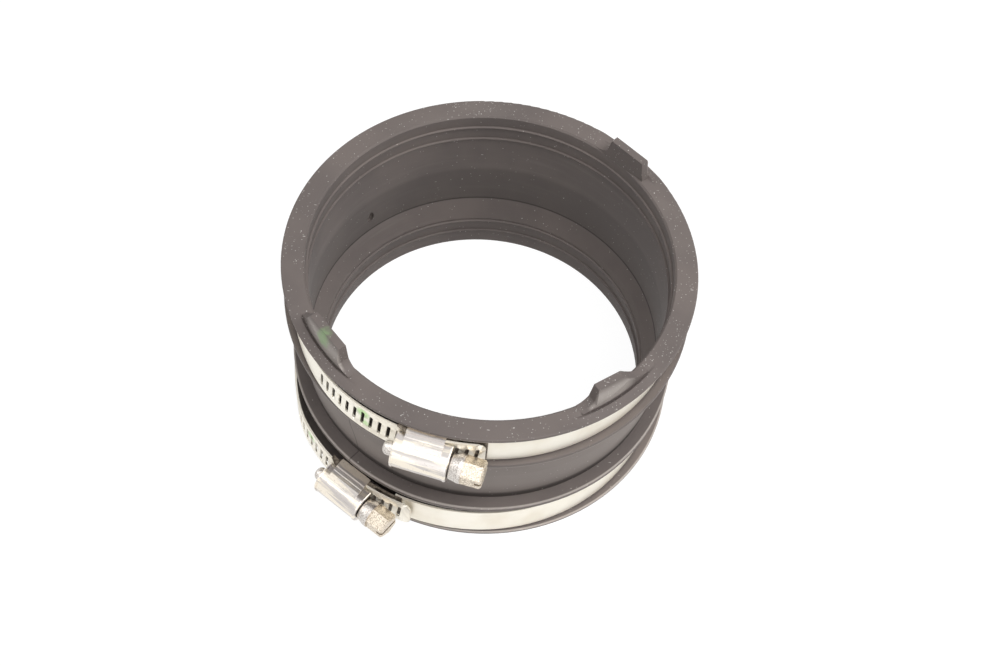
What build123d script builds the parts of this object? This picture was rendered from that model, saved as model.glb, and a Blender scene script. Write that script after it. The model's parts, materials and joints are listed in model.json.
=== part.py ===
from build123d import *

import math
import os

# Flexible pipe coupling: a stepped rubber sleeve with two worm-drive band clamps.
# Millimetres, +Z up. The origin is the centre of the sleeve's bottom face.

os.makedirs("parts", exist_ok=True)

# ---------------------------------------------------------------- sleeve: outside
sleeve_height = 68.0
rim_radius = 69.0
groove_depth = 5.1              # of the two clamp grooves, below their ribs
lower_rib_step = 1.2            # the lower rib and the flange stand in from the rim
flange_step = 0.6
lip_thickness = 1.5             # the rim's and the bottom flange's outer edges
upper_rib_thickness = 1.9
lower_rib_thickness = 2.5
waist_top_rise = 1.1            # the channel between the ribs narrows downwards; these
waist_bottom_rise = 0.7         # are its heights above the two groove floors
waist_crease_height = 37.0
lip_rounding = 0.5

# ---------------------------------------------------------------- sleeve: inside
upper_wall = 2.6                # between the groove floors and the bores
lower_wall = 4.95
waist_relief = 0.6
upper_seat_length = 29.0        # from the top face down to the relieved waist
waist_end_height = 21.5         # the relieved waist is widest here
lower_seat_length = 14.0        # from the bottom face up to the taper that stops the pipes
mouth_chamfer = 0.6
fin_height = 0.25               # low enough for a pipe to slide past
fin_base = 1.3
upper_fin_depths = (5.5, 11.4)      # below the top face
lower_fin_heights = (6.8, 12.6)     # above the bottom face
dimple_width = 3.0
dimple_height = 5.4
dimple_depth = 1.1
dimple_level = 29.0
dimple_angle = 139.0

# ---------------------------------------------------------------- sleeve: lugs on the rim
lug_height = 8.1
lug_inset = 0.2                 # the flat inner face stands this far inside the bore's wall
lug_ridge_step = 2.5            # from the bore's wall to the straight ridge of the flat top
lug_root_step = 4.0             # from the bore's wall to the outer foot
lug_steep = 1.2                 # length of the steep end, down to its foot
lug_foot_height = 2.4
lug_foot_length = 4.5
lug_face_drop = 0.8             # how far the flat face reaches below the top face
lug_undercut = 3.0              # where the face has sloped back to the bore
lug_face_slope = 0.5
lug_ramp_middle = 0.45          # where the gentle end's arc passes, along it and up it
lug_swell = 0.85                # how far the outer wall has swollen at half its height
lug_valley_depth = 0.7          # the valley round the lug's outer foot
lug_valley_width = 0.8          # from the foot to the valley's outer edge
lug_land_drop = 0.9             # the rim's edge falls away outside the valley
lug_land_margin = 3.0           # the valley runs on this far past the lug, degrees
lug_land_steps = 8
lug_land_least = 0.05           # share of its depth left at the valley's ends
# direction of the flat face, its middle along the face, its length, the gentle end's
# length, and +1 where the steep end is the anticlockwise one
lugs = (
    (-136.4, -3.3, 15.4, 6.5, 1),
    (-53.0, 4.0, 9.6, 11.5, -1),
    (50.6, -4.3, 13.9, 1.6, 1),
)

# ---------------------------------------------------------------- clamps: strip
band_width = 12.7
band_thickness = 0.65
strip_inset = 1.4               # from the rim's edge to the middle of the slotted stretch
thread_pitch = 3.175
slot_width = 1.25
slot_length = 7.4
slots_before = 13               # slots on the loop side of the housing's middle
tail_rounding = 3.0
slotted_sweep = 22.0            # stretch of constant radius before the housing, degrees
lap_start = 16.0                # where the strip's inner end begins, past the middle
strip_gap = 0.1                 # radial running gap between the layers
side_gap = 0.1                  # between the strip's edges and what guides them
floor_gap = 0.15                # between the strip and the groove's floor
feed_reach = (-5.5, 4.0, 13.6)  # how far the screw lets the strip out and draws it in, degrees
floor_blend = 0.2               # softens the path where it lifts off the floor
spiral_points = 72

# ---------------------------------------------------------------- clamps: saddle and anchor
saddle_thickness = 0.8
saddle_front = 9.5              # beyond the middle, on the loop side
saddle_back = 9.3               # beyond the middle, on the head side
ear_depth = 1.2                 # the ears start this far inside the strip's middle
ear_reach = 1.6                 # how far the ears stand out at their tall end
anchor_front = 7.0
anchor_back = 19.0

# ---------------------------------------------------------------- clamps: worm screw
crest_radius = 4.3
root_radius = 3.3
thread_depth_in_slot = 0.5
crest_width = 0.6
thread_base_width = 1.1
thread_turns = 4.5
thread_root_overlap = 0.2       # how far the thread is sunk into the core
journal_radius = 2.4            # tip that turns in the housing's front wall
neck_radius = 3.2               # neck that turns in the housing's rear wall
journal_gap = 0.1
core_end_gap = 0.2              # between the core's ends and the barrel's end walls
tip_length = 3.4                # how far the tip stands out of the barrel
tip_rounding = 1.8
collar_gap = 0.25               # between the barrel and the collar
collar_small_radius = 4.1
collar_radius = 4.75
collar_cone_length = 3.0
collar_land = 1.15
hex_across_flats = 8.0
hex_length = 6.7
hex_chamfer = 0.6
driver_slot_width = 1.2
driver_slot_depth = 2.2

# ---------------------------------------------------------------- clamps: housing
sheet_thickness = 0.6
base_half_length = 6.25
barrel_half_length = 9.1
barrel_radius = 5.3
barrel_bore_radius = 4.5
barrel_wall = 0.8
barrel_skirt = 3.7              # how far the barrel reaches below the screw's axis
bead_radius = 5.55
bead_width = 0.9
end_rounding = 0.6
tab_width = 4.0                 # fold-under tabs that carry the stack
tab_thickness = 0.675
tunnel_headroom = 0.175         # above the strip, under the legs' inturned edges
cavity_inset = 1.1              # from the legs' inner faces, above the strip
cavity_top = 1.2                # the base's cavity ends this far below the screw's axis
# pressed steps down each side: distance below the screw's axis, set in from the legs
housing_steps = (
    (3.5, 0.0), (3.2, 0.65), (2.05, 0.7), (1.8, 0.95), (0.6, 1.0), (0.35, 1.3), (-1.0, 1.5)
)
step_fade = 1.3                 # above the screw's axis, where the steps meet the arch

# ---------------------------------------------------------------- clamps: places
# angle of the housing, offset of the loop's centre from the sleeve's axis
upper_clamp_angle = -101.0
upper_clamp_offset = (-0.44, -1.64)
upper_tail_length = 18.7        # from the housing's middle to the strip's free end
upper_tail_slots = 5
upper_lift_off = 62.0           # where the strip leaves the groove's floor, before the housing
lower_clamp_angle = -123.5
lower_clamp_offset = (-1.66, -2.38)
lower_tail_length = 23.2
lower_tail_slots = 6
lower_lift_off = 46.0
leg_gap = 0.2                   # between the housing's sides and the groove's walls

# ---------------------------------------------------------------- worked out from the above
lower_rib_radius = rim_radius - lower_rib_step
flange_radius = rim_radius - flange_step
upper_groove_radius = rim_radius - groove_depth
lower_groove_radius = lower_rib_radius - groove_depth
waist_top_radius = upper_groove_radius + waist_top_rise
waist_bottom_radius = lower_groove_radius + waist_bottom_rise
upper_bore_radius = upper_groove_radius - upper_wall
lower_bore_radius = lower_groove_radius - lower_wall
waist_bore_radius = upper_bore_radius + waist_relief
lug_chord = upper_bore_radius - lug_inset
lug_ridge = upper_bore_radius + lug_ridge_step
lug_root_radius = upper_bore_radius + lug_root_step
land_start = lug_root_radius + lug_valley_width

half_band = band_width / 2
leg_inner = half_band + side_gap
leg_outer = leg_inner + sheet_thickness
groove_width = 2 * (leg_outer + leg_gap)
lower_groove_bottom = lip_thickness
lower_groove_top = lower_groove_bottom + groove_width
waist_bottom = lower_groove_top + lower_rib_thickness
upper_groove_top = sleeve_height - lip_thickness
upper_groove_bottom = upper_groove_top - groove_width
waist_top = upper_groove_bottom - upper_rib_thickness
upper_clamp_height = (upper_groove_bottom + upper_groove_top) / 2
lower_clamp_height = (lower_groove_bottom + lower_groove_top) / 2

strip_radius = rim_radius - strip_inset
strip_inner = strip_radius - band_thickness / 2
strip_outer = strip_radius + band_thickness / 2
saddle_outer = strip_inner - strip_gap
saddle_inner = saddle_outer - saddle_thickness
anchor_inner = saddle_inner - band_thickness
lap_radius = anchor_inner - strip_gap - band_thickness / 2
screw_radius = strip_outer - thread_depth_in_slot + crest_radius
slot_pitch_angle = math.degrees(thread_pitch / strip_radius)
lead_angle = math.degrees(math.atan(thread_pitch / (2 * math.pi * crest_radius)))
core_half_length = barrel_half_length - barrel_wall - core_end_gap
tip_reach = barrel_half_length + tip_length
collar_start = barrel_half_length + collar_gap
collar_end = collar_start + collar_cone_length + collar_land
housing_floor = anchor_inner - tab_thickness


def polar(radius, angle):
    """A point in the XY plane from a radius and an angle in degrees."""
    return (radius * math.cos(math.radians(angle)), radius * math.sin(math.radians(angle)))


def arc_about_centre(radius, start, end):
    """An arc between two angles; its seam stays at the start, clear of later cuts."""
    middle = (start + end) / 2
    return ThreePointArc(polar(radius, start), polar(radius, middle), polar(radius, end))


def arc_strip(inner, outer, start, end, width):
    """A strip of constant radius: start and end are lengths along its outer arc."""
    with BuildPart() as strip:
        with BuildSketch():
            with BuildLine():
                first = math.degrees(start / outer)
                last = math.degrees(end / outer)
                inside = arc_about_centre(inner, first, last)
                outside = arc_about_centre(outer, first, last)
                Line(inside @ 0, outside @ 0)
                Line(inside @ 1, outside @ 1)
            make_face()
        extrude(amount=width / 2, both=True)
    return strip


# ================================================================= sleeve
def make_lug(angle, middle, top_length, ramp, steep_side):
    """A raised lug: flat face along a chord, one gentle and one steep end, swollen outer wall."""
    across = polar(middle, angle + 90)
    inner = polar(lug_chord, angle)
    start = (inner[0] + across[0], inner[1] + across[1], sleeve_height)
    face = Plane(
        origin=start, x_dir=(*polar(steep_side, angle + 90), 0), z_dir=(*polar(1, angle), 0)
    )
    rise = steep_side        # the face's own y axis points up or down with the chosen side
    half_top = top_length / 2
    foot = half_top + lug_steep
    ramp_end = -half_top - ramp
    with BuildPart() as lug:
        with BuildSketch(face):
            with BuildLine():
                Polyline(
                    (foot + lug_foot_length, 0),
                    (foot + lug_foot_length, -lug_undercut * rise),
                    (ramp_end, -lug_undercut * rise),
                    (ramp_end, 0),
                )
                ThreePointArc(
                    (ramp_end, 0),
                    (-half_top - ramp * lug_ramp_middle, lug_height * lug_ramp_middle * rise),
                    (-half_top, lug_height * rise),
                )
                Polyline(
                    (-half_top, lug_height * rise),
                    (half_top, lug_height * rise),
                    (foot, lug_foot_height * rise),
                )
                TangentArc(
                    (foot + lug_foot_length, 0),
                    (foot, lug_foot_height * rise),
                    tangent=(-1, 0),
                )
            make_face()
        extrude(amount=rim_radius - lug_chord)
        end_on = Plane(
            origin=(0, 0, sleeve_height),
            x_dir=(*polar(1, angle), 0),
            z_dir=(*polar(1, angle - 90), 0),
        )
        bulge = lug_root_radius - lug_ridge
        with BuildSketch(end_on):
            with BuildLine():
                Polyline(
                    (lug_ridge, lug_height),
                    (lug_chord / 2, lug_height),
                    (lug_chord / 2, -lug_face_drop),
                    (lug_chord, -lug_face_drop),
                    (lug_chord + lug_face_slope, -lug_undercut),
                    (lug_chord + 2 * lug_face_slope, -lug_undercut),
                    (lug_chord + 3 * lug_face_slope, -lug_valley_depth),
                    (lug_root_radius, -lug_valley_depth),
                )
                ThreePointArc(
                    (lug_root_radius, -lug_valley_depth),
                    (lug_ridge + bulge * lug_swell, lug_height / 2),
                    (lug_ridge, lug_height),
                )
            make_face()
        extrude(amount=lug_chord / 2, both=True, mode=Mode.INTERSECT)
        with BuildSketch(Plane.XY):
            Circle(lug_root_radius)
        extrude(amount=2 * sleeve_height, mode=Mode.INTERSECT)
        with BuildSketch(Plane.XY):     # under the rim, the ends stay inside the wall
            Circle(rim_radius)
            Circle(upper_groove_radius - lug_face_slope, mode=Mode.SUBTRACT)
        extrude(amount=upper_groove_top + lip_rounding, mode=Mode.SUBTRACT)
    return lug


def lug_reach(angle, middle, top_length, ramp, steep_side):
    """The middle and half-width, in degrees, of the valley outside a lug."""
    ends = (middle - steep_side * (top_length / 2 + ramp), middle + steep_side * (
        top_length / 2 + lug_steep + lug_foot_length))
    turns = [angle + math.degrees(math.atan2(end, lug_chord)) for end in ends]
    return sum(turns) / 2, abs(turns[1] - turns[0]) / 2 + lug_land_margin


def valley_outline(depth):
    """Section of the valley beside a lug's outer foot."""
    return (
        (lug_ridge, sleeve_height),
        (lug_root_radius, sleeve_height - lug_valley_depth * depth),
        (land_start, sleeve_height),
        (lug_root_radius, sleeve_height + lug_valley_depth),
    )


def land_outline(depth):
    """Section of the slope from the valley's outer edge to the rim's lip."""
    return (
        (land_start, sleeve_height),
        (rim_radius + lip_rounding, sleeve_height + lip_rounding),
        (rim_radius + lip_rounding, sleeve_height - lug_land_drop * depth),
    )


lug_parts = [make_lug(*lug) for lug in lugs]

with BuildPart() as sleeve:
    with BuildSketch(Plane.XZ) as section:
        with BuildLine():
            Polyline(
                (lower_bore_radius, 0),
                (flange_radius, 0),
                (flange_radius, lower_groove_bottom),
                (lower_groove_radius, lower_groove_bottom),
                (lower_groove_radius, lower_groove_top),
                (lower_rib_radius, lower_groove_top),
                (lower_rib_radius, waist_bottom),
                (waist_bottom_radius, waist_bottom),
                (waist_top_radius, waist_crease_height),
                (waist_top_radius, waist_top),
                (rim_radius, waist_top),
                (rim_radius, upper_groove_bottom),
                (upper_groove_radius, upper_groove_bottom),
                (upper_groove_radius, upper_groove_top),
                (rim_radius, upper_groove_top),
                (rim_radius, sleeve_height),
                (upper_bore_radius, sleeve_height),
                (upper_bore_radius, sleeve_height - upper_seat_length),
                (waist_bore_radius, waist_end_height),
                (lower_bore_radius, lower_seat_length),
                close=True,
            )
        make_face()
        lips = section.vertices().filter_by(lambda v: v.X > lower_rib_radius - lip_rounding)
        fillet(lips, lip_rounding)
        mouth = section.vertices().filter_by(lambda v: v.X < upper_bore_radius + 0.1)
        chamfer(mouth.sort_by(Axis.Y)[-1], mouth_chamfer)
        fins = [(upper_bore_radius, sleeve_height - depth) for depth in upper_fin_depths]
        fins += [(lower_bore_radius, height) for height in lower_fin_heights]
        for wall_radius, height in fins:
            with BuildLine():
                Polyline(
                    (wall_radius, height - fin_base / 2),
                    (wall_radius, height + fin_base / 2),
                    (wall_radius - fin_height, height),
                    close=True,
                )
            make_face()
    revolve(axis=Axis.Z)
    with BuildSketch(
        Plane(
            origin=(*polar(waist_bore_radius + dimple_depth, dimple_angle), dimple_level),
            x_dir=(*polar(1, dimple_angle + 90), 0),
            z_dir=(*polar(-1, dimple_angle), 0),
        )
    ):
        Ellipse(dimple_width / 2, dimple_height / 2)
    extrude(amount=2 * dimple_depth, mode=Mode.SUBTRACT)
    for lug in lugs:
        turn, half_width = lug_reach(*lug)
        for outline in (valley_outline, land_outline):
            for i in range(lug_land_steps + 1):
                across = 2 * i / lug_land_steps - 1
                depth = max(lug_land_least, 1 - across**4)
                with BuildSketch(Plane.XZ.rotated((0, 0, turn + across * half_width))):
                    with BuildLine():
                        Polyline(*outline(depth), close=True)
                    make_face()
            loft(ruled=True, mode=Mode.SUBTRACT)
    for lug in lug_parts:
        add(lug.part)
sleeve.part.label = "sleeve"
export_step(sleeve.part, "parts/sleeve.step")


# ================================================================= clamps
# Each piece is made about the loop's centre, with the housing's middle on +X and the
# strip's middle at zero height; the screw's head is on the +Y side.
def path_radius(turn, angle, offset, groove_radius, lift_off):
    """Mid-thickness radius of the strip, at a turn past the housing's middle.

    It clears the floor wherever the screw feeds it.
    """
    ways = [polar(1, angle + turn + fed) for fed in feed_reach]
    away = min(offset[0] * x + offset[1] * y for x, y in ways)
    floor = groove_radius + floor_gap + band_thickness / 2 - away
    low = (floor + lap_radius + math.hypot(floor - lap_radius, floor_blend)) / 2
    t = min(max((turn - 360 + lift_off) / (lift_off - slotted_sweep), 0), 1)
    return low + (strip_radius - low) * t * t * (3 - 2 * t)


def lap_edge(side, *loop):
    """One face of the strip's wrapped stretch, from the inner end round to the slots."""
    start = math.degrees(lap_start / lap_radius)
    step = (360 - slotted_sweep - start) / spiral_points
    turns = [start + i * step for i in range(spiral_points + 1)]
    return [polar(path_radius(t, *loop) + side * band_thickness / 2, t) for t in turns]


def make_band(tail_length, tail_slots, *loop):
    """The slotted strip: it wraps the groove, lifts off it, and ends in a rounded tail."""
    tail_angle = math.degrees(tail_length / strip_radius)
    with BuildPart() as band:
        with BuildSketch():
            with BuildLine():
                inside = Spline(*lap_edge(-1, *loop))
                outside = Spline(*lap_edge(1, *loop))
                inner_arc = arc_about_centre(strip_inner, -slotted_sweep, tail_angle)
                outer_arc = arc_about_centre(strip_outer, -slotted_sweep, tail_angle)
                Line(inside @ 0, outside @ 0)
                Line(inner_arc @ 1, outer_arc @ 1)
            make_face()
        extrude(amount=half_band, both=True)
        corners = band.edges().filter_by(lambda edge: edge.length < 2 * band_thickness)
        tail_end = (*polar(strip_radius, tail_angle), 0)
        fillet(corners.sort_by_distance(tail_end)[:2], tail_rounding)
        for i in range(-slots_before, tail_slots + 1):
            angle = i * slot_pitch_angle
            slot_plane = Plane(
                origin=(*polar(strip_inner - strip_gap, angle), 0),
                x_dir=(0, 0, 1),
                z_dir=(*polar(1, angle), 0),
            )
            with BuildSketch(slot_plane):
                SlotOverall(slot_length, slot_width, rotation=-lead_angle)
            extrude(amount=band_thickness + 2 * strip_gap, mode=Mode.SUBTRACT)
    return band


def make_anchor():
    """The strip's other end, held under the saddle."""
    return arc_strip(anchor_inner, saddle_inner, -anchor_front, anchor_back, band_width)


def make_saddle():
    """The plate between the strip's two layers, with two small guide ears at its front."""
    with BuildPart() as saddle:
        plate = arc_strip(
            saddle_inner, saddle_outer, -saddle_front, saddle_back, band_width + side_gap
        )
        add(plate.part)
        for side in (-1, 1):
            height = side * (half_band + side_gap / 2)
            with BuildSketch(Plane.XY.offset(height)):
                with BuildLine():
                    Polyline(
                        (strip_radius - ear_depth, -base_half_length - 2 * side_gap),
                        (saddle_outer + ear_reach, -base_half_length - 2 * side_gap),
                        (saddle_outer, -saddle_front),
                        (strip_radius - ear_depth - sheet_thickness, -saddle_front),
                        close=True,
                    )
                make_face()
            extrude(amount=side * (leg_outer - abs(height)))
    return saddle


def make_housing():
    """The pressed housing: stepped legs, tabs folded under the stack, and the worm's barrel."""
    with BuildPart() as housing:
        with BuildSketch(Plane.XZ):
            with BuildLine():
                arch_half = math.sqrt(barrel_radius**2 - step_fade**2)
                upper = [(housing_floor, leg_outer)]
                upper += [(screw_radius - d, leg_outer - inset) for d, inset in housing_steps]
                upper += [(screw_radius + step_fade, arch_half)]
                lower = [(x, -z) for x, z in reversed(upper)]
                Polyline(*upper)
                ThreePointArc(upper[-1], (screw_radius + barrel_radius, 0), lower[0])
                Polyline(*lower, upper[0])
            make_face()
        extrude(amount=base_half_length, both=True)
        barrel_axis = Plane(
            origin=(screw_radius, 0, 0), x_dir=(0, 0, 1), z_dir=(0, 1, 0)
        )
        for radius, start, end in (
            (barrel_radius, -barrel_half_length, barrel_half_length),
            (bead_radius, -barrel_half_length, bead_width - barrel_half_length),
            (bead_radius, barrel_half_length - bead_width, barrel_half_length),
        ):
            with BuildSketch(barrel_axis.offset(start)):
                Circle(radius)
                with Locations((0, -barrel_skirt / 2)):
                    Rectangle(2 * radius, barrel_skirt)
                with Locations((0, -barrel_skirt - radius)):
                    Rectangle(3 * radius, 2 * radius, mode=Mode.SUBTRACT)
            extrude(amount=end - start)
        ends = housing.faces().filter_by(Axis.Y).sort_by(Axis.Y)
        fillet(ends[0].edges().filter_by(GeomType.CIRCLE), end_rounding)
        fillet(ends[-1].edges().filter_by(GeomType.CIRCLE), end_rounding)
        inner_half = barrel_half_length - barrel_wall
        with BuildSketch(barrel_axis.offset(-inner_half)):
            Circle(barrel_bore_radius)
            with Locations((0, -barrel_skirt)):
                Rectangle(2 * barrel_bore_radius, 2 * barrel_skirt)
        extrude(amount=2 * inner_half, mode=Mode.SUBTRACT)
        with BuildSketch(Plane.XZ):
            cavity_half = leg_inner - cavity_inset
            slit_half = leg_inner - tab_width
            with BuildLine():
                Polyline(
                    (screw_radius - cavity_top, cavity_half),
                    (saddle_inner, cavity_half),
                    (saddle_inner, slit_half),
                    (housing_floor - sheet_thickness, slit_half),
                    (housing_floor - sheet_thickness, -slit_half),
                    (saddle_inner, -slit_half),
                    (saddle_inner, -cavity_half),
                    (screw_radius - cavity_top, -cavity_half),
                    close=True,
                )
            make_face()
        extrude(amount=base_half_length, both=True, mode=Mode.SUBTRACT)
        with BuildSketch(Plane.XY):
            Circle(strip_outer + tunnel_headroom)
            Circle(anchor_inner, mode=Mode.SUBTRACT)
        extrude(amount=leg_inner, both=True, mode=Mode.SUBTRACT)
        with BuildSketch(barrel_axis.offset(-barrel_half_length)):
            Circle(journal_radius + journal_gap)
        extrude(amount=barrel_wall, mode=Mode.SUBTRACT)
        with BuildSketch(barrel_axis.offset(inner_half)):
            Circle(neck_radius + journal_gap)
        extrude(amount=barrel_wall, mode=Mode.SUBTRACT)
    return housing


def make_screw():
    """The worm screw: a true helix that crosses one slot of the strip at its middle."""
    head_plane = Plane.XY.offset(-collar_end)
    with BuildPart() as worm:
        with BuildSketch(Plane.XZ) as half:
            with BuildLine():
                Polyline(
                    (0, -collar_end),
                    (collar_radius, -collar_end),
                    (collar_radius, -collar_end + collar_land),
                    (collar_small_radius, -collar_start),
                    (neck_radius, -collar_start),
                    (neck_radius, -core_half_length),
                    (root_radius, -core_half_length),
                    (root_radius, core_half_length),
                    (journal_radius, core_half_length),
                    (journal_radius, tip_reach),
                    (0, tip_reach),
                    close=True,
                )
            make_face()
            fillet(half.vertices().sort_by(Axis.Y)[-2:].sort_by(Axis.X)[-1], tip_rounding)
        revolve(axis=Axis.Z)
        with BuildSketch(head_plane):
            RegularPolygon(radius=hex_across_flats / 2, side_count=6, major_radius=False)
        extrude(amount=-hex_length)
        end_face = worm.faces().sort_by(Axis.Z)[0]
        chamfer(end_face.edges(), hex_chamfer)
        with BuildSketch(head_plane.offset(-hex_length)):
            Rectangle(driver_slot_width, 2 * hex_across_flats)
        extrude(amount=driver_slot_depth, mode=Mode.SUBTRACT)
    thread_length = thread_turns * thread_pitch
    with BuildPart() as thread:
        with BuildLine(Plane.XY.offset(-thread_length / 2)) as guide:
            Helix(pitch=thread_pitch, height=thread_length, radius=root_radius)
        with BuildSketch(Plane(origin=guide.line @ 0, x_dir=(1, 0, 0), z_dir=guide.line % 0)):
            with BuildLine():
                Polyline(
                    (-thread_root_overlap, -thread_base_width / 2),
                    (crest_radius - root_radius, -crest_width / 2),
                    (crest_radius - root_radius, crest_width / 2),
                    (-thread_root_overlap, thread_base_width / 2),
                    close=True,
                )
            make_face()
        sweep(path=guide.line, is_frenet=True)
    across = Plane(origin=(screw_radius, 0, 0), x_dir=(0, 0, 1), z_dir=(0, -1, 0))
    with BuildPart() as screw:
        with Locations(across):
            add(worm.part)
            add(thread.part)
    return screw


def placed(piece, angle, offset, height):
    """A clamp piece moved to its place round the sleeve."""
    with BuildPart() as moved:
        with Locations(Location((offset[0], offset[1], height), (0, 0, angle))):
            add(piece.part)
    return moved


shared_pieces = {
    "band_anchor": make_anchor(),
    "saddle": make_saddle(),
    "housing": make_housing(),
    "screw": make_screw(),
}
upper_band = make_band(
    upper_tail_length, upper_tail_slots,
    upper_clamp_angle, upper_clamp_offset, upper_groove_radius, upper_lift_off,
)
lower_band = make_band(
    lower_tail_length, lower_tail_slots,
    lower_clamp_angle, lower_clamp_offset, lower_groove_radius, lower_lift_off,
)
clamps = (
    ("upper", upper_clamp_angle, upper_clamp_offset, upper_clamp_height, upper_band),
    ("lower", lower_clamp_angle, lower_clamp_offset, lower_clamp_height, lower_band),
)
for level, angle, offset, height, band in clamps:
    for name, piece in {"band": band, **shared_pieces}.items():
        node = placed(piece, angle, offset, height)
        node.part.label = f"{level}_{name}"
        export_step(node.part, f"parts/{level}_{name}.step")
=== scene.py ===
# %% [markdown]
# # A flexible pipe coupling, dressed
#
# The part is a stepped rubber sleeve with a worm-drive band clamp in a groove round each
# end. Its shapes come from the CAD frame. This notebook adds the small moulded details that
# are too fine for the CAD, gives each surface the finish that the real one has, and sets up
# the camera, the light and the floor.

import json
import math

import bpy
from mathutils import Matrix, Vector


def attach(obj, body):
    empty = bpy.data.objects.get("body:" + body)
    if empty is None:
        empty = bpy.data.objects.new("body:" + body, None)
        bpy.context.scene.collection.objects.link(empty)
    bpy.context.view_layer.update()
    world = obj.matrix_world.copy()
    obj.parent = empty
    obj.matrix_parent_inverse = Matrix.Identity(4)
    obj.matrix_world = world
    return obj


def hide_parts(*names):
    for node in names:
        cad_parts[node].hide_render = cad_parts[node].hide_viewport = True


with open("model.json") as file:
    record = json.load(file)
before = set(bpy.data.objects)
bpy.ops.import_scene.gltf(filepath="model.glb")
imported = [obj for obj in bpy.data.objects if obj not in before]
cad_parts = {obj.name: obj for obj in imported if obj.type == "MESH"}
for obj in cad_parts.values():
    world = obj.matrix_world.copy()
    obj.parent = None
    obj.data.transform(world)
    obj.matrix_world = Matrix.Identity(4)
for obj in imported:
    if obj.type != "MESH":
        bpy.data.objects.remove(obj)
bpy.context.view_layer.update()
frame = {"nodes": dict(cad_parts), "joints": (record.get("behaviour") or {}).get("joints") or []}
nodes = frame["nodes"]
joints = {joint["name"]: joint for joint in frame["joints"]}


# %% [markdown]
# Everything is measured in millimetres on the real object and in metres here, so one small
# function converts lengths. Colours are written as the hex values that a paint program
# shows, and a second function turns them into the linear values that the renderer mixes.

# %% Units and colours
def mm(*lengths):
    """Millimetres to metres: one number, or a tuple for several."""
    metres = tuple(length / 1000 for length in lengths)
    return metres[0] if len(metres) == 1 else metres


def hex_colour(code):
    """An sRGB hex code as linear red, green, blue and alpha."""
    parts = [int(code[i:i + 2], 16) / 255 for i in (1, 3, 5)]
    linear = [p / 12.92 if p <= 0.04045 else ((p + 0.055) / 1.055) ** 2.4 for p in parts]
    return (*linear, 1.0)


def polar(radius, angle, height=0.0):
    """A point in metres from a radius in mm, an angle in degrees and a height in mm."""
    turn = math.radians(angle)
    return mm(radius * math.cos(turn), radius * math.sin(turn), height)


# %% [markdown]
# The camera stands above and in front of the coupling and looks down on it at about 57
# degrees, so that the open bore, the rim and both clamps show. It is turned a few degrees
# about its own axis, which leans the coupling slightly.

# %% Camera
camera_place = Vector(mm(5.64, -277.54, 449.96))
camera_view = Vector((0.0, 0.545, -0.8384))
camera_lean = math.radians(6.33)

camera_data = bpy.data.cameras.new("camera")
camera_data.lens = 51.35
camera_data.sensor_width = 36.0
camera_data.clip_start = 0.01
camera = bpy.data.objects.new("camera", camera_data)
bpy.context.scene.collection.objects.link(camera)
look = camera_view.to_track_quat("-Z", "Y").to_matrix().to_4x4()
camera.matrix_world = (
    Matrix.Translation(camera_place) @ look @ Matrix.Rotation(camera_lean, 4, "Z"))
bpy.context.scene.camera = camera
print("camera:", round(camera_data.lens, 1), "mm lens,",
      round(camera_place.length, 3), "m away")


# %% [markdown]
# A material is a small network of nodes. One function adds a node, sets its options and its
# inputs, and links each input that is given another node, or one of its outputs. On a Mix
# node that mixes colours, input 0 is the factor, inputs 6 and 7 are the two colours, and
# output 2 is the result. A Map Range node set to a smooth step makes a mask: it gives 0
# where its value is at From Min, 1 where it is at From Max, and a soft edge between.

# %% A node helper
def add_node(owner, kind, inputs=None, **settings):
    """Adds one node to a material or the world, sets it up and links its inputs."""
    tree = owner.node_tree
    node = tree.nodes.new("ShaderNode" + kind)
    for name, value in settings.items():
        setattr(node, name, value)
    for name, value in (inputs or {}).items():
        if isinstance(value, bpy.types.Node):
            value = value.outputs[0]
        if isinstance(value, bpy.types.NodeSocket):
            tree.links.new(value, node.inputs[name])
        else:
            node.inputs[name].default_value = value
    return node


def new_material(name):
    """A material with no nodes yet."""
    material = bpy.data.materials.new(name)
    material.use_nodes = True
    material.node_tree.nodes.clear()
    return material


SMOOTH = {"interpolation_type": "SMOOTHSTEP"}
COLOURS = {"data_type": "RGBA"}


# %% [markdown]
# The sleeve is EPDM rubber, compression moulded. Moulded rubber is matt and warm dark grey
# rather than black: its fine skin scatters light, and mould powder stays on it as pale
# specks. Where a finish belongs follows from the distance from the sleeve's axis and the
# height, so both are worked out first from the Object coordinates.

# %% Moulded EPDM rubber: places on the sleeve
rim_height = 68.0
wall_radius = 64.0              # the middle of the wall, on which the sleeve is unrolled
rubber = new_material("moulded_epdm_rubber")
place = add_node(rubber, "TexCoord").outputs["Object"]
xyz = add_node(rubber, "SeparateXYZ", {"Vector": place})
height = xyz.outputs["Z"]
flat_place = add_node(rubber, "CombineXYZ", {"X": xyz.outputs["X"], "Y": xyz.outputs["Y"]})
radius = add_node(
    rubber, "VectorMath", {0: flat_place}, operation="LENGTH").outputs["Value"]
turn = add_node(
    rubber, "Math", {0: xyz.outputs["Y"], 1: xyz.outputs["X"]}, operation="ARCTAN2")
arc = add_node(rubber, "Math", {0: turn, 1: mm(wall_radius)}, operation="MULTIPLY")
unrolled = add_node(rubber, "CombineXYZ", {"X": arc, "Y": height, "Z": radius})
profile = add_node(rubber, "CombineXYZ", {"X": radius, "Y": height})
print("rubber: places from", len(rubber.node_tree.nodes), "nodes")

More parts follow.
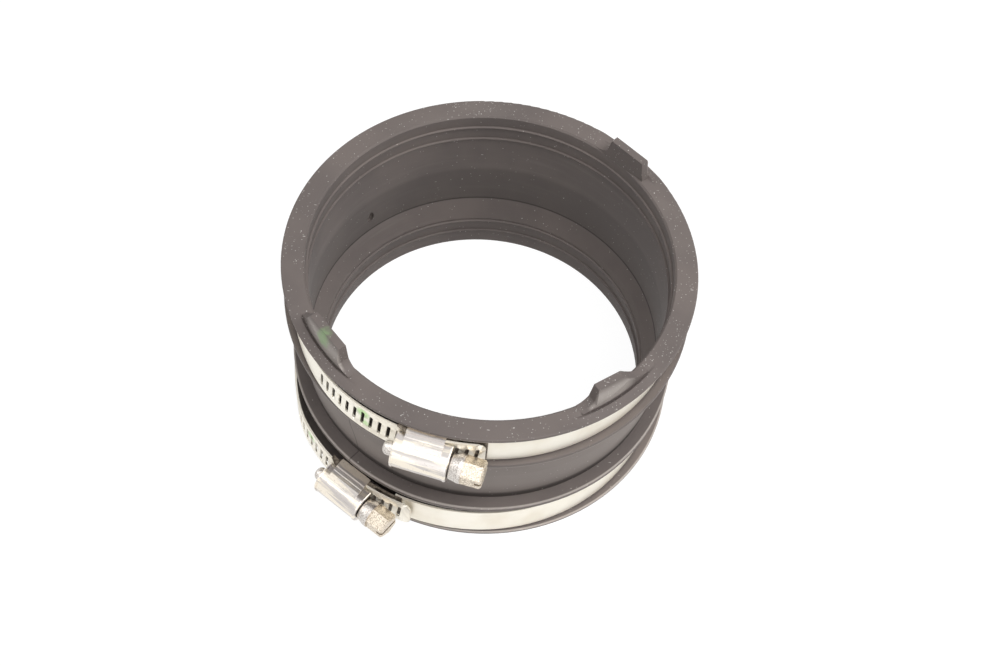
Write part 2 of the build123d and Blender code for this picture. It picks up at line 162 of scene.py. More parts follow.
# %% Moulded EPDM rubber: broad tones
# cloudy patches about 25 mm across, as the skin cures unevenly
clouds = add_node(rubber, "TexNoise", {
    "Vector": place, "Scale": 40.0, "Detail": 3.0, "Roughness": 0.5})
cloudy = add_node(rubber, "MapRange", {
    "Value": clouds, "From Min": 0.3, "From Max": 0.7}, **SMOOTH)
tone = add_node(rubber, "Mix", {
    0: cloudy, 6: hex_colour("#6b6360"), 7: hex_colour("#756c68")}, **COLOURS).outputs[2]

# pale streaks that run round the walls, about 3 mm tall and 40 mm long
streak_place = add_node(rubber, "Mapping", {
    "Vector": unrolled, "Scale": (25.0, 330.0, 60.0)})
streaks = add_node(rubber, "TexNoise", {
    "Vector": streak_place, "Scale": 1.0, "Detail": 4.0, "Roughness": 0.6})
streaky = add_node(rubber, "MapRange", {
    "Value": streaks, "From Min": 0.5, "From Max": 0.8, "To Max": 0.3}, **SMOOTH)
tone = add_node(rubber, "Mix", {
    0: streaky, 6: tone, 7: hex_colour("#857e79")}, **COLOURS).outputs[2]
print("rubber: broad tones")

# %% [markdown]
# Inside, the waist is painted darker than the sockets: this is painted shade. It ends at a
# crisp dark line, painted shade in the crease where the bore's wall turns inwards.

# %% Moulded EPDM rubber: the waist inside
crease_height = 21.5
inside = add_node(rubber, "MapRange", {
    "Value": radius, "From Min": mm(62.8), "From Max": mm(62.4)}, **SMOOTH)
above_crease = add_node(rubber, "MapRange", {
    "Value": height, "From Min": mm(crease_height - 0.1), "From Max": mm(crease_height + 0.1)},
    **SMOOTH)
below_seat = add_node(rubber, "MapRange", {
    "Value": height, "From Min": mm(40.5), "From Max": mm(38.0)}, **SMOOTH)
in_waist = add_node(rubber, "Math", {0: above_crease, 1: below_seat}, operation="MULTIPLY")
waist_painted_shade = add_node(rubber, "Math", {0: inside, 1: in_waist}, operation="MULTIPLY")
waist_painted_shade = add_node(rubber, "Math", {0: waist_painted_shade, 1: 0.35}, operation="MULTIPLY")
# painted shade: the waist is drawn darker than the sockets
tone = add_node(rubber, "Mix", {
    0: waist_painted_shade, 6: tone, 7: hex_colour("#4d4743")}, **COLOURS).outputs[2]
off_crease = add_node(rubber, "Math", {0: height, 1: mm(crease_height)}, operation="SUBTRACT")
off_crease = add_node(rubber, "Math", {0: off_crease}, operation="ABSOLUTE")
crease_painted_shade = add_node(rubber, "MapRange", {
    "Value": off_crease, "From Min": mm(0.45), "From Max": mm(0.1), "To Max": 0.75}, **SMOOTH)
crease_painted_shade = add_node(rubber, "Math", {0: inside, 1: crease_painted_shade}, operation="MULTIPLY")
# painted shade: a crisp dark line in the crease round the bore
tone = add_node(rubber, "Mix", {
    0: crease_painted_shade, 6: tone, 7: hex_colour("#2b2725")}, **COLOURS).outputs[2]
print("rubber: waist inside, down to", crease_height, "mm")

# %% [markdown]
# Outside, the two grooves and the foot of the channel between the ribs are painted dark:
# this is painted shade. The open middle of the channel is painted paler: this is painted
# light.

# %% Moulded EPDM rubber: the hollows outside
hollows = (
    # bottom, top and how dark
    (52.3, 66.6, 0.9),
    (1.8, 16.1, 0.9),
    (18.8, 23.5, 0.85),
)
off_rib = add_node(rubber, "MapRange", {
    "Value": radius, "From Min": mm(67.6), "From Max": mm(65.5)}, **SMOOTH)
off_bore = add_node(rubber, "MapRange", {
    "Value": radius, "From Min": mm(62.3), "From Max": mm(62.6)}, **SMOOTH)
outer_wall = add_node(rubber, "Math", {0: off_rib, 1: off_bore}, operation="MULTIPLY")
for bottom, top, depth in hollows:
    above = add_node(rubber, "MapRange", {
        "Value": height, "From Min": mm(bottom - 0.1), "From Max": mm(bottom + 0.3)},
        **SMOOTH)
    below = add_node(rubber, "MapRange", {
        "Value": height, "From Min": mm(top + 0.1), "From Max": mm(top - 2.5),
        "To Max": depth}, **SMOOTH)
    hollow_painted_shade = add_node(rubber, "Math", {0: above, 1: below}, operation="MULTIPLY")
    hollow_painted_shade = add_node(rubber, "Math", {0: hollow_painted_shade, 1: outer_wall}, operation="MULTIPLY")
    # painted shade: the grooves and the foot of the channel are drawn dark
    tone = add_node(rubber, "Mix", {
        0: hollow_painted_shade, 6: tone, 7: hex_colour("#2a2522")}, **COLOURS).outputs[2]

above_foot = add_node(rubber, "MapRange", {
    "Value": height, "From Min": mm(20), "From Max": mm(30)}, **SMOOTH)
below_rib = add_node(rubber, "MapRange", {
    "Value": height, "From Min": mm(50.3), "From Max": mm(46.0), "To Max": 0.5}, **SMOOTH)
channel_painted_light = add_node(rubber, "Math", {0: above_foot, 1: below_rib}, operation="MULTIPLY")
channel_painted_light = add_node(rubber, "Math", {0: channel_painted_light, 1: outer_wall}, operation="MULTIPLY")
# painted light: the open middle of the channel is drawn paler
tone = add_node(rubber, "Mix", {
    0: channel_painted_light, 6: tone, 7: hex_colour("#9a918b")}, **COLOURS).outputs[2]
print("rubber:", len(hollows), "dark hollows")

# %% [markdown]
# The lugs were cut into a polished part of the mould on their outer side and into a grained
# part on their flat inner side. So the swollen outer side is smooth and glossy and carries a
# painted highlight, and the flat face is matt and speckled. A point is past a lug's ridge when
# it lies farther from the axis, in the lug's direction, than the ridge does.

# %% Moulded EPDM rubber: the lugs
lug_directions = (-136.4, -53.0, 50.6)
lug_ridge = 63.8                # from the axis to the straight ridge on a lug's top
past_ridges = 0.0
for direction in lug_directions:
    along_lug = add_node(
        rubber, "VectorMath", {0: flat_place, 1: polar(1000, direction)},
        operation="DOT_PRODUCT").outputs["Value"]
    past_ridge = add_node(rubber, "MapRange", {
        "Value": along_lug, "From Min": mm(lug_ridge - 0.2), "From Max": mm(lug_ridge + 1.0)},
        **SMOOTH)
    past_ridges = add_node(
        rubber, "Math", {0: past_ridge, 1: past_ridges}, operation="MAXIMUM")
on_lug = add_node(rubber, "MapRange", {
    "Value": height, "From Min": mm(rim_height + 0.2), "From Max": mm(rim_height + 1.2)},
    **SMOOTH)
polished = add_node(rubber, "Math", {0: on_lug, 1: past_ridges}, operation="MULTIPLY")
grained = add_node(rubber, "Math", {0: on_lug, 1: polished}, operation="SUBTRACT")
lug_painted_highlight = add_node(rubber, "Math", {0: polished, 1: 0.85}, operation="MULTIPLY")
# painted highlight: the swollen outer side of each lug is drawn paler
tone = add_node(rubber, "Mix", {
    0: lug_painted_highlight, 6: tone, 7: hex_colour("#aca49e")}, **COLOURS).outputs[2]
print("rubber:", len(lug_directions), "lugs")

# %% [markdown]
# The lips round the rim and the ribs carry a painted highlight, pale where their small fillets
# catch the light. Each lip is one point of the sleeve's profile, so the highlight fades with the
# distance from it.

# %% Moulded EPDM rubber: painted highlights on the lips
lips = (
    # radius and height
    (69.0, 66.5), (69.0, 50.1), (67.8, 16.0), (67.8, 18.5), (68.4, 1.5))
nearest = 1.0
for lip in lips:
    off_lip = add_node(rubber, "VectorMath", {0: profile, 1: (*mm(*lip), 0)},
                       operation="DISTANCE").outputs["Value"]
    nearest = add_node(rubber, "Math", {0: off_lip, 1: nearest}, operation="MINIMUM")
painted_lip_highlight = add_node(rubber, "MapRange", {
    "Value": nearest, "From Min": mm(0.75), "From Max": mm(0.3), "To Max": 0.85}, **SMOOTH)
# painted highlight: the lips are drawn pale along their edges
tone = add_node(rubber, "Mix", {
    0: painted_lip_highlight, 6: tone, 7: hex_colour("#bdb4ad")}, **COLOURS).outputs[2]
print("rubber:", len(lips), "rubbed lips")

# %% [markdown]
# Mould powder lies on the sleeve as dots 0.3 to 0.4 mm across, thickly on the upward faces
# and thinly on the walls. A Voronoi pattern gives each dot a cell of its own: the distance
# from the cell's centre draws the dot, and the cell's random colour decides whether it
# shows and how bright it is. Stretched cells give the stray fibres, about 1 mm long.

# %% Moulded EPDM rubber: powder and fibres
upward = add_node(rubber, "MapRange", {
    "Value": height, "From Min": mm(67.0), "From Max": mm(67.7)}, **SMOOTH)
patches = add_node(rubber, "TexNoise", {"Vector": place, "Scale": 110.0, "Detail": 2.0})
powdered = add_node(rubber, "MapRange", {
    "Value": patches, "From Min": 0.38, "From Max": 0.66, "To Min": 0.2, "To Max": 0.9},
    **SMOOTH)
share = add_node(rubber, "MapRange", {"Value": upward, "To Min": 0.16, "To Max": 1.0})
share = add_node(rubber, "Math", {0: share, 1: powdered}, operation="MULTIPLY")
cell_turn = (0.4, 0.9, 0.6)     # so that no row of cells follows a wall
powder_layers = (
    # cells to a metre, dot radius in cells, strength, stretch, share of the cells
    (560.0, 0.11, 0.8, (1.0, 1.0, 1.0), 1.0),
    (1000.0, 0.16, 0.6, (1.0, 1.0, 1.0), 1.3),
    (520.0, 0.09, 0.8, (0.35, 1.6, 1.6), 0.7),
)
for scale, dot, strength, stretch, layer_share in powder_layers:
    dust_place = add_node(rubber, "Mapping", {
        "Vector": place, "Scale": stretch, "Rotation": cell_turn})
    cells = add_node(rubber, "TexVoronoi", {"Vector": dust_place, "Scale": scale})
    chance = add_node(rubber, "SeparateColor", {"Color": cells.outputs["Color"]})
    layer_chance = add_node(
        rubber, "Math", {0: share, 1: layer_share}, operation="MULTIPLY")
    chosen = add_node(
        rubber, "Math", {0: chance.outputs["Red"], 1: layer_chance}, operation="LESS_THAN")
    dots = add_node(rubber, "MapRange", {
        "Value": cells.outputs["Distance"], "From Min": dot * 1.3, "From Max": dot * 0.7},
        **SMOOTH)
    bright = add_node(rubber, "MapRange", {
        "Value": chance.outputs["Green"], "To Min": 0.25 * strength, "To Max": strength})
    dots = add_node(rubber, "Math", {0: dots, 1: chosen}, operation="MULTIPLY")
    dots = add_node(rubber, "Math", {0: dots, 1: bright}, operation="MULTIPLY")
    tone = add_node(rubber, "Mix", {
        0: dots, 6: tone, 7: hex_colour("#e6e2dd")}, **COLOURS).outputs[2]
print("rubber: powder on", len(powder_layers), "layers")

# %% [markdown]
# Two marks are left to add. Where the mould's halves met, a hairline runs down the outside.
# And a dab of the green paint that marks an inspected part has rubbed off on one lug.

# %% Moulded EPDM rubber: parting line and paint
parting_angle = -128.0
dab_centre = mm(-48.2, -41.6, 73.5)
paint_green = "#8fb57c"
off_line = add_node(rubber, "MapRange", {
    "Value": height, "From Min": mm(20), "From Max": mm(50),
    "To Min": math.radians(parting_angle + 1.5), "To Max": math.radians(parting_angle - 1.0)},
    interpolation_type="SMOOTHERSTEP")
off_line = add_node(rubber, "Math", {0: turn, 1: off_line}, operation="SUBTRACT")
off_line = add_node(rubber, "Math", {0: off_line}, operation="ABSOLUTE")
hairline = add_node(rubber, "MapRange", {
    "Value": off_line, "From Min": math.radians(0.28), "From Max": math.radians(0.08),
    "To Max": 0.55}, **SMOOTH)
outside = add_node(rubber, "MapRange", {
    "Value": radius, "From Min": mm(63.0), "From Max": mm(63.4)}, **SMOOTH)
hairline = add_node(rubber, "Math", {0: hairline, 1: outside}, operation="MULTIPLY")
below_rim = add_node(rubber, "Math", {0: height, 1: mm(51)}, operation="LESS_THAN")
hairline = add_node(rubber, "Math", {0: hairline, 1: below_rim}, operation="MULTIPLY")
tone = add_node(rubber, "Mix", {
    0: hairline, 6: tone, 7: hex_colour("#2e2a27")}, **COLOURS).outputs[2]

off_dab = add_node(rubber, "VectorMath", {0: place, 1: dab_centre},
                   operation="DISTANCE").outputs["Value"]
ragged = add_node(rubber, "TexNoise", {"Vector": place, "Scale": 500.0, "Detail": 3.0})
off_dab = add_node(
    rubber, "Math", {0: ragged, 1: mm(3.0), 2: off_dab}, operation="MULTIPLY_ADD")
dab = add_node(rubber, "MapRange", {
    "Value": off_dab, "From Min": mm(5.4), "From Max": mm(3.2), "To Max": 0.6}, **SMOOTH)
tone = add_node(rubber, "Mix", {
    0: dab, 6: tone, 7: hex_colour(paint_green)}, **COLOURS).outputs[2]
print("rubber: parting line at", parting_angle, "degrees, and a dab of paint")

# %% [markdown]
# The mould's own skin gives the fine relief. It is drawn about 0.5 mm coarse so that it
# shows, and deeper on the grained faces. The polished faces are also the glossier ones.

# %% Moulded EPDM rubber: relief and shader
skin = add_node(rubber, "TexNoise", {
    "Vector": place, "Scale": 1900.0, "Detail": 3.0, "Roughness": 0.7})
skin_depth = add_node(rubber, "MapRange", {
    "Value": grained, "To Min": 0.15, "To Max": 0.7})
relief = add_node(rubber, "Bump", {
    "Height": skin, "Strength": skin_depth, "Distance": mm(0.06)})
rubber_roughness = add_node(rubber, "MapRange", {
    "Value": polished, "To Min": 0.6, "To Max": 0.42})
shader = add_node(rubber, "BsdfPrincipled", {
    "Base Color": tone, "Roughness": rubber_roughness, "IOR": 1.5,
    "Specular IOR Level": 0.3, "Normal": relief})
add_node(rubber, "OutputMaterial", {"Surface": shader})
print("material:", rubber.name, "with", len(rubber.node_tree.nodes), "nodes")


# %% [markdown]
# Four thin fins run round the two sockets and seal against the pipes. They are far thinner
# than the wall. The CAD keeps them low enough for a rigid pipe to slide past, and here they
# stand at their full height. The section of a fin is a small plane that leans to a thin
# tip. Spinning its outline round the sleeve's axis makes the ring.

# %% Sealing fins
def select_vertices(piece, wanted):
    """Opens a piece for editing with only the vertices selected that a test picks."""
    bpy.ops.object.mode_set(mode="EDIT")
    bpy.ops.mesh.select_all(action="DESELECT")
    bpy.ops.object.mode_set(mode="OBJECT")
    for vertex in piece.data.vertices:
        vertex.select = wanted(vertex.co)
    bpy.ops.object.mode_set(mode="EDIT")


fin_root = 1.0                  # a fin's section starts as a square of this size
fin_middle = 0.2                # how far its middle stands out from the wall of the bore
fin_tip_share = 0.3             # how much of its height is left at the tip
fin_lift = 0.15                 # the tip shrinks towards a point this far above the middle


def sealing_fin(name, bore_radius, level):
    """A ring with a thin tip, from one section spun round the sleeve's axis."""
    bpy.ops.object.select_all(action="DESELECT")
    bpy.ops.mesh.primitive_plane_add(
        size=mm(fin_root), location=mm(bore_radius - fin_middle, 0, level),
        rotation=(math.pi / 2, 0, 0))
    fin = bpy.context.object
    fin.name = name
    bpy.ops.object.transform_apply(location=True, rotation=True, scale=True)
    select_vertices(fin, lambda point: point.x < mm(bore_radius - fin_middle))
    bpy.ops.transform.resize(
        value=(1, 1, fin_tip_share), center_override=mm(bore_radius, 0, level + fin_lift))
    bpy.ops.mesh.select_all(action="SELECT")
    bpy.ops.mesh.delete(type="ONLY_FACE")
    bpy.ops.mesh.select_all(action="SELECT")
    bpy.ops.mesh.spin(steps=256, angle=math.tau, center=(0, 0, 0), axis=(0, 0, 1))
    bpy.ops.mesh.select_all(action="SELECT")
    bpy.ops.mesh.remove_doubles(threshold=mm(0.001))
    bpy.ops.mesh.normals_make_consistent(inside=False)
    bpy.ops.object.mode_set(mode="OBJECT")
    bpy.ops.object.shade_smooth_by_angle(angle=math.radians(30))
    fin.data.materials.append(rubber)
    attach(fin, "sleeve_body")
    print(name, "has", len(fin.data.polygons), "faces")


upper_bore = 61.3
lower_bore = 57.75
for number, depth in enumerate((5.5, 11.4)):
    sealing_fin(f"upper_fin_{number + 1}", upper_bore, rim_height - depth)
for number, level in enumerate((6.8, 12.6)):
    sealing_fin(f"lower_fin_{number + 1}", lower_bore, level)


# %% [markdown]
# The clamps are stainless steel. The strip is cold rolled, so fine lines run along its
# length. The rolls leave a satin skin, which blurs the pale room that it mirrors into an
# even creamy white and scatters part of the light itself. Green inspection paint was dabbed
# on a few slots of each strip.

# %% Satin rolled stainless strip
strip_arc_radius = 67.6         # on which the strip is unrolled, from the loop's centre
mirror_share = 0.75             # the rest of the light is scattered by the satin skin


def rolled_strip(name, loop_centre, dabs):
    """Rolled stainless with green inspection paint near the given places."""
    strip = new_material(name)
    spot = add_node(strip, "TexCoord").outputs["Object"]
    about = add_node(
        strip, "VectorMath", {0: spot, 1: (*mm(*loop_centre), 0)}, operation="SUBTRACT")
    parts = add_node(strip, "SeparateXYZ", {"Vector": about})
    round_turn = add_node(
        strip, "Math", {0: parts.outputs["Y"], 1: parts.outputs["X"]}, operation="ARCTAN2")
    round_arc = add_node(
        strip, "Math", {0: round_turn, 1: mm(strip_arc_radius)}, operation="MULTIPLY")
    along = add_node(strip, "CombineXYZ", {"X": round_arc, "Y": parts.outputs["Z"]})
    # rolling lines: 0.15 mm apart and 40 mm long
    line_place = add_node(strip, "Mapping", {"Vector": along, "Scale": (25.0, 6500.0, 1.0)})
    lines = add_node(strip, "TexNoise", {"Vector": line_place, "Scale": 1.0, "Detail": 2.0})
    # handling haze: soft dull patches about 12 mm across
    haze = add_node(strip, "TexNoise", {
        "Vector": spot, "Scale": 80.0, "Detail": 3.0, "Roughness": 0.5})
    hazy = add_node(strip, "MapRange", {
        "Value": haze, "From Min": 0.35, "From Max": 0.7}, **SMOOTH)
    colour = add_node(strip, "Mix", {
        0: hazy, 6: hex_colour("#fbf6ea"), 7: hex_colour("#f1eadb")}, **COLOURS).outputs[2]
    for centre, reach in dabs:
        away = add_node(strip, "VectorMath", {0: spot, 1: centre},
                        operation="DISTANCE").outputs["Value"]
        away = add_node(
            strip, "Math", {0: haze, 1: mm(reach), 2: away}, operation="MULTIPLY_ADD")
        painted = add_node(strip, "MapRange", {
            "Value": away, "From Min": mm(reach * 1.7), "From Max": mm(reach * 1.1),
            "To Max": 0.8}, **SMOOTH)
        colour = add_node(strip, "Mix", {
            0: painted, 6: colour, 7: hex_colour("#b4dc96")}, **COLOURS).outputs[2]
    roughness = add_node(strip, "MapRange", {
        "Value": haze, "From Min": 0.3, "From Max": 0.7, "To Min": 0.4, "To Max": 0.5})
    grooves = add_node(strip, "Bump", {
        "Height": lines, "Strength": 0.12, "Distance": mm(0.02)})
    metal = add_node(strip, "BsdfPrincipled", {
        "Base Color": colour, "Metallic": mirror_share, "Roughness": roughness,
        "Normal": grooves})
    add_node(strip, "OutputMaterial", {"Surface": metal})
    print("material:", name, "with", len(dabs), "dabs of paint")
    return strip


strips = {
    "upper": rolled_strip("rolled_stainless_upper", (-0.44, -1.64), [
        (polar(67.9, -119.2, 62.5), 3.0), (polar(67.9, -118.6, 57.0), 2.6)]),
    "lower": rolled_strip("rolled_stainless_lower", (-1.66, -2.38), [
        (polar(68.5, -141.9, 11.6), 3.0)]),
}


# %% [markdown]
# The housing is folded from bright sheet and pressed round the screw. Broad bands of cream,
# silver and grey along the barrel are painted reflections. The bands follow two coordinates
# in the barrel's own frame: how far along the screw's axis a point lies, and how far round
# that axis. Both come from the joint that turns the screw.

# %% Coordinates along and round a screw
def screw_frame(level):
    """The screw's middle, its direction towards the head, and the way out of the sleeve."""
    joint = joints[f"{level}_screw_turn"]
    middle = Vector(joint["pos_m"])
    towards_head = -Vector(joint["axis"]).normalized()
    outwards = Vector((middle.x, middle.y, 0)).normalized()
    return middle, towards_head, outwards


def barrel_coordinates(steel, level):
    """Two nodes: metres along the screw from its middle, and radians round it."""
    middle, towards_head, outwards = screw_frame(level)
    spot = add_node(steel, "TexCoord").outputs["Object"]
    about = add_node(steel, "VectorMath", {0: spot, 1: middle}, operation="SUBTRACT")
    reach, out, up = (
        add_node(steel, "VectorMath", {0: about, 1: way}, operation="DOT_PRODUCT")
        for way in (towards_head, outwards, (0, 0, 1)))
    around = add_node(
        steel, "Math", {0: up.outputs["Value"], 1: out.outputs["Value"]}, operation="ARCTAN2")
    return spot, reach.outputs["Value"], around


# %% Pressed stainless housing
def pressed_housing(level):
    """Bright sheet, with broad bands of cream, silver and grey along the barrel as painted
    reflections.
    """
    steel = new_material(f"pressed_stainless_{level}")
    spot, reach, around = barrel_coordinates(steel, level)
    # painted reflections, in bands 3 to 4 mm wide and about 30 mm long
    bands_place = add_node(steel, "CombineXYZ", {"X": reach, "Y": around})
    bands_place = add_node(steel, "Mapping", {
        "Vector": bands_place, "Scale": (35.0, 1.9, 1.0)})
    bands = add_node(steel, "TexNoise", {
        "Vector": bands_place, "Scale": 1.0, "Detail": 3.0, "Roughness": 0.55})
    silver = add_node(steel, "MapRange", {
        "Value": bands, "From Min": 0.46, "From Max": 0.54}, **SMOOTH)
    # painted reflections: silver bands along the barrel
    colour = add_node(steel, "Mix", {
        0: silver, 6: hex_colour("#f3eadb"), 7: hex_colour("#cdc7c3")}, **COLOURS).outputs[2]
    # painted reflections: grey bands along the barrel
    grey = add_node(steel, "MapRange", {
        "Value": bands, "From Min": 0.6, "From Max": 0.68, "To Max": 0.6}, **SMOOTH)
    colour = add_node(steel, "Mix", {
        0: grey, 6: colour, 7: hex_colour("#a09993")}, **COLOURS).outputs[2]
    # scuffs and small pits, about 0.7 mm across
    scuffs = add_node(steel, "TexNoise", {
        "Vector": spot, "Scale": 1400.0, "Detail": 3.0, "Roughness": 0.7})
    scuffed = add_node(steel, "MapRange", {
        "Value": scuffs, "From Min": 0.58, "From Max": 0.7, "To Max": 0.45}, **SMOOTH)
    colour = add_node(steel, "Mix", {
        0: scuffed, 6: colour, 7: hex_colour("#a49c95")}, **COLOURS).outputs[2]
    dents = add_node(steel, "TexNoise", {"Vector": spot, "Scale": 380.0, "Detail": 2.0})
    dimples = add_node(steel, "Bump", {
        "Height": dents, "Strength": 0.3, "Distance": mm(0.12)})
    metal = add_node(steel, "BsdfPrincipled", {
        "Base Color": colour, "Metallic": 1.0, "Roughness": 0.28, "Normal": dimples})
    add_node(steel, "OutputMaterial", {"Surface": metal})
    return steel


# %% [markdown]
# The screw is turned and its hex head is cold formed, then zinc plated. Plating goes on
# unevenly: the collar stays silver, and the head is a grainy beige with darker pits. The
# neck between the housing and the collar is drawn dark.

# %% Turned and plated screw
neck_middle = 9.2               # from the screw's middle towards its head
head_start = 13.5


def plated_screw(level):
    """A silver collar, a dark neck and a grainy beige head, told apart along the axis."""
    steel = new_material(f"plated_steel_{level}")
    spot, reach, around = barrel_coordinates(steel, level)
    grain = add_node(steel, "TexNoise", {
        "Vector": spot, "Scale": 2200.0, "Detail": 4.0, "Roughness": 0.7})
    grainy = add_node(steel, "MapRange", {
        "Value": grain, "From Min": 0.42, "From Max": 0.62}, **SMOOTH)
    collar_tone = add_node(steel, "Mix", {
        0: grainy, 6: hex_colour("#ddd8d2"), 7: hex_colour("#aca49e")}, **COLOURS).outputs[2]
    head_tone = add_node(steel, "Mix", {
        0: grainy, 6: hex_colour("#ebe0cf"), 7: hex_colour("#ac9f8e")}, **COLOURS).outputs[2]
    on_head = add_node(steel, "MapRange", {
        "Value": reach, "From Min": mm(head_start - 0.3), "From Max": mm(head_start + 0.3)},
        **SMOOTH)
    colour = add_node(steel, "Mix", {
        0: on_head, 6: collar_tone, 7: head_tone}, **COLOURS).outputs[2]
    off_neck = add_node(steel, "Math", {0: reach, 1: mm(neck_middle)}, operation="SUBTRACT")
    off_neck = add_node(steel, "Math", {0: off_neck}, operation="ABSOLUTE")
    on_neck = add_node(steel, "MapRange", {
        "Value": off_neck, "From Min": mm(0.45), "From Max": mm(0.25), "To Max": 0.85},
        **SMOOTH)
    colour = add_node(steel, "Mix", {
        0: on_neck, 6: colour, 7: hex_colour("#3a342f")}, **COLOURS).outputs[2]
    pits = add_node(steel, "Bump", {
        "Height": grain, "Strength": 0.45, "Distance": mm(0.08)})
    metal = add_node(steel, "BsdfPrincipled", {
        "Base Color": colour, "Metallic": 1.0, "Roughness": 0.38, "Normal": pits})
    add_node(steel, "OutputMaterial", {"Surface": metal})
    return steel


# %% [markdown]
# The saddle and the anchored end of the strip lie under the strip, in its shade. Their dull
# brown-grey is painted shade and a painted dark reflection, and their faces keep the fine
# scratches of the shears.

# %% Plate under the strip, with painted shade
saddle_steel = new_material("shade_painted_stainless_plate")
spot = add_node(saddle_steel, "TexCoord").outputs["Object"]
scratch_and_shade_noise = add_node(saddle_steel, "TexNoise", {
    "Vector": spot, "Scale": 600.0, "Detail": 4.0, "Roughness": 0.7})
shade_patches = add_node(saddle_steel, "MapRange", {
    "Value": scratch_and_shade_noise, "From Min": 0.4, "From Max": 0.65}, **SMOOTH)
# painted shade and painted dark reflection: dull brown-grey on the saddle and anchored end
colour = add_node(saddle_steel, "Mix", {
    0: shade_patches, 6: hex_colour("#8d8377"), 7: hex_colour("#544b42")}, **COLOURS).outputs[2]
scratches = add_node(saddle_steel, "Bump", {
    "Height": scratch_and_shade_noise, "Strength": 0.3, "Distance": mm(0.05)})
metal = add_node(saddle_steel, "BsdfPrincipled", {
    "Base Color": colour, "Metallic": 1.0, "Roughness": 0.5, "Normal": scratches})
add_node(saddle_steel, "OutputMaterial", {"Surface": metal})
print("material:", saddle_steel.name)

# %% Give the frame's pieces their finishes
finishes = {"sleeve": rubber}
for level in ("upper", "lower"):
    finishes[f"{level}_band"] = strips[level]
    finishes[f"{level}_band_anchor"] = saddle_steel
    finishes[f"{level}_housing"] = pressed_housing(level)
    finishes[f"{level}_saddle"] = saddle_steel
    finishes[f"{level}_screw"] = plated_screw(level)
for name, material in finishes.items():
    for slot in nodes[name].material_slots:
        slot.material = material
print("finishes on", len(finishes), "nodes")


# %% [markdown]
# The worm drives the strip by its slots, which are punched right through it. Where the
# strip sinks towards the groove, before it reaches the worm, the frame's slots are only
# pockets. So each strip is copied and the last few slots are punched through the copy. The
# punch is a cylinder whose two halves are moved apart, which leaves round ends. It leans
# by the worm's lead, as every slot does.

# %% Slots punched through the strips
slot_length = 7.42
slot_width = 1.27
punch_depth = 4.0
punch_radius = 66.8             # where the middle of a punch lies, from the loop's centre
slot_pitch = 2.691              # degrees from slot to slot
slot_lead = math.radians(6.7)
far_slots = range(-13, -8)      # slots to open, counted from the housing's middle


def slot_punch():
    """A bar along X with the slot's outline, centred on the origin."""
    bpy.ops.object.select_all(action="DESELECT")
    bpy.ops.mesh.primitive_cylinder_add(
        vertices=32, radius=mm(slot_width / 2), depth=mm(punch_depth), location=(0, 0, 0),
        rotation=(0, math.pi / 2, 0))
    punch = bpy.context.object
    punch.name = "slot_punch"
    bpy.ops.object.transform_apply(location=False, rotation=True, scale=False)
    for way in (1, -1):
        select_vertices(punch, lambda point: way * point.z > mm(0.001))
        bpy.ops.transform.translate(value=(0, 0, way * mm((slot_length - slot_width) / 2)))
        bpy.ops.object.mode_set(mode="OBJECT")
    return punch


def slotted_strip(level, punch):
    """A copy of a strip with its far slots opened."""
    middle = Vector(joints[f"{level}_screw_turn"]["pos_m"])
    loop_centre = Vector(joints[f"{level}_band_feed"]["pos_m"])
    loop_centre.z = middle.z
    to_housing = middle - loop_centre
    housing_turn = math.atan2(to_housing.y, to_housing.x)
    bpy.ops.object.select_all(action="DESELECT")
    for number in far_slots:
        cutter = bpy.data.objects.new("far_slot", punch.data.copy())
        bpy.context.scene.collection.objects.link(cutter)
        slot_turn = Matrix.Rotation(housing_turn + math.radians(number * slot_pitch), 4, "Z")
        outwards = Matrix.Translation((mm(punch_radius), 0, 0))
        cutter.matrix_world = (
            Matrix.Translation(loop_centre) @ slot_turn @ outwards
            @ Matrix.Rotation(-slot_lead, 4, "X"))
        cutter.select_set(True)
    bpy.context.view_layer.objects.active = cutter
    bpy.ops.object.join()

    bpy.ops.object.select_all(action="DESELECT")
    strip = bpy.data.objects.new(f"{level}_slotted_strip", nodes[f"{level}_band"].data.copy())
    bpy.context.scene.collection.objects.link(strip)
    strip.select_set(True)
    bpy.context.view_layer.objects.active = strip
    bpy.ops.object.mode_set(mode="EDIT")
    bpy.ops.mesh.select_all(action="SELECT")
    bpy.ops.mesh.remove_doubles(threshold=mm(0.001))
    bpy.ops.object.mode_set(mode="OBJECT")
    cut = strip.modifiers.new("far_slots", "BOOLEAN")
    cut.operation = "DIFFERENCE"
    cut.solver = "EXACT"
    cut.object = cutter
    bpy.ops.object.modifier_apply(modifier=cut.name)
    bpy.data.objects.remove(cutter)
    bpy.ops.object.shade_smooth_by_angle(angle=math.radians(30))
    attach(strip, f"{level}_band_body")
    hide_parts(f"{level}_band")
    print(strip.name, "has", len(strip.data.polygons), "faces")


punch = slot_punch()
for level in strips:
    slotted_strip(level, punch)
bpy.data.objects.remove(punch)


# %% [markdown]
# A stage is what the part stands on and in: here a wide pale floor in a white surround. The
# world lights the part evenly and weakly, so that the lamps can shape it. Light Path picks
# out the rays that come from the camera or from a mirror-like surface, and those see pure
# white instead.

# %% World
def seen_rays(owner):
    """A node that gives 1 to rays from the camera, a mirror or a clear pane, and else 0."""
    path = add_node(owner, "LightPath")
    seen = add_node(owner, "Math", {
        0: path.outputs["Is Camera Ray"], 1: path.outputs["Is Glossy Ray"]},
        operation="MAXIMUM")
    return add_node(owner, "Math", {
        0: seen, 1: path.outputs["Is Transmission Ray"]}, operation="MAXIMUM")


world = bpy.data.worlds.new("studio")
bpy.context.scene.world = world
world.use_nodes = True
world.node_tree.nodes.clear()
world_light = 0.08
strength = add_node(world, "MapRange", {
    "Value": seen_rays(world), "To Min": world_light, "To Max": 1.0})
backdrop = add_node(world, "Background", {
    "Color": (1.0, 1.0, 1.0, 1.0), "Strength": strength})
add_node(world, "OutputWorld", {"Surface": backdrop})
print("world: strength", world_light, "as light")

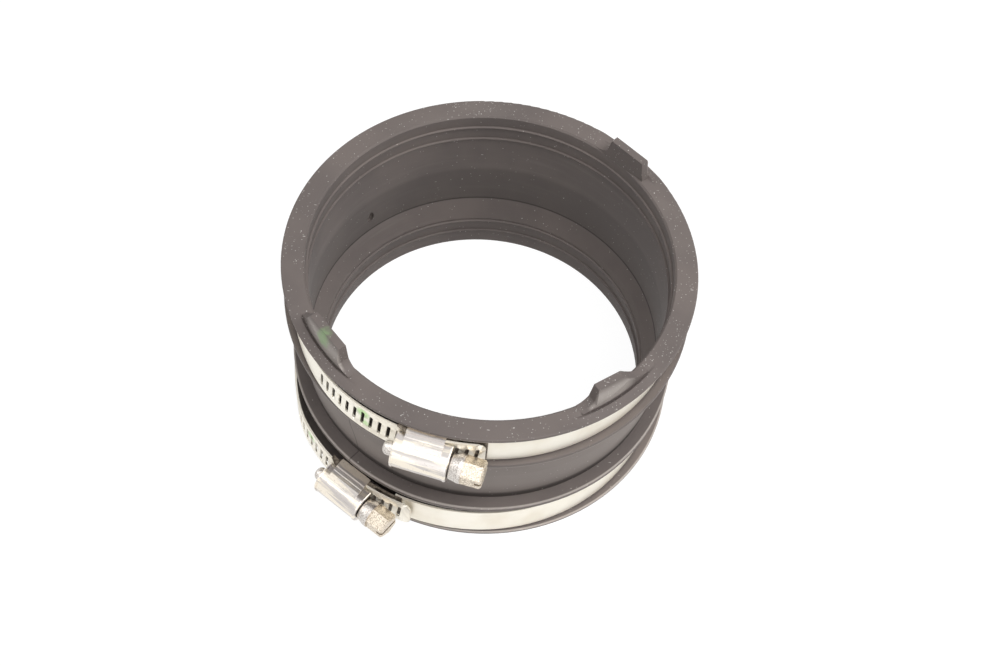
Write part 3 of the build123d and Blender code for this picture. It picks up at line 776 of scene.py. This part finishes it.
# %% [markdown]
# The floor is matt white paper. To the rays that see it, most of it glows white by itself,
# and the rest still takes the part's soft shadow.

# %% Floor
seen_glow = 0.8                 # share of the floor's glow for the rays that see it
glow_strength = 1.15
bpy.ops.object.select_all(action="DESELECT")
bpy.ops.mesh.primitive_plane_add(size=6.0, location=(0, 0, 0))
floor = bpy.context.object
floor.name = "floor"
paper = new_material("white_paper_floor")
glow_share = add_node(
    paper, "Math", {0: seen_rays(paper), 1: seen_glow}, operation="MULTIPLY")
matt = add_node(paper, "BsdfDiffuse", {"Color": (0.8, 0.8, 0.8, 1.0)})
glow = add_node(paper, "Emission", {"Color": (1.0, 1.0, 1.0, 1.0), "Strength": glow_strength})
both = add_node(paper, "MixShader", {0: glow_share, 1: matt, 2: glow})
add_node(paper, "OutputMaterial", {"Surface": both})
floor.data.materials.append(paper)
print("floor:", round(floor.dimensions.x), "m wide")


# %% [markdown]
# Large soft lamps on both sides light the walls of the bore, a soft lamp above lights the
# rim, and a weak one in front fills the outer grooves.

# %% Lamps
lamp_target = Vector(mm(0, 0, 34))


def soft_lamp(name, lamp_place, size, power):
    """A square area lamp that faces the middle of the sleeve."""
    lamp_data = bpy.data.lights.new(name, "AREA")
    lamp_data.size = size
    lamp_data.energy = power
    lamp = bpy.data.objects.new(name, lamp_data)
    bpy.context.scene.collection.objects.link(lamp)
    towards = lamp_target - Vector(lamp_place)
    facing = towards.to_track_quat("-Z", "Y").to_matrix().to_4x4()
    lamp.matrix_world = Matrix.Translation(Vector(lamp_place)) @ facing


lamps = (
    # name, place, size, power in watts
    ("left_softbox", (-1.0, 0.0, 0.8), 0.8, 3.3),
    ("right_softbox", (1.0, 0.0, 0.8), 0.8, 6.6),
    ("top_softbox", (0.2, -0.25, 1.15), 0.8, 8.8),
    ("front_softbox", (0.0, -1.1, 0.5), 0.8, 2.4),
)
for lamp in lamps:
    soft_lamp(*lamp)
print("lamps:", len(lamps))

# %% Colour management
bpy.context.scene.view_settings.view_transform = "Standard"
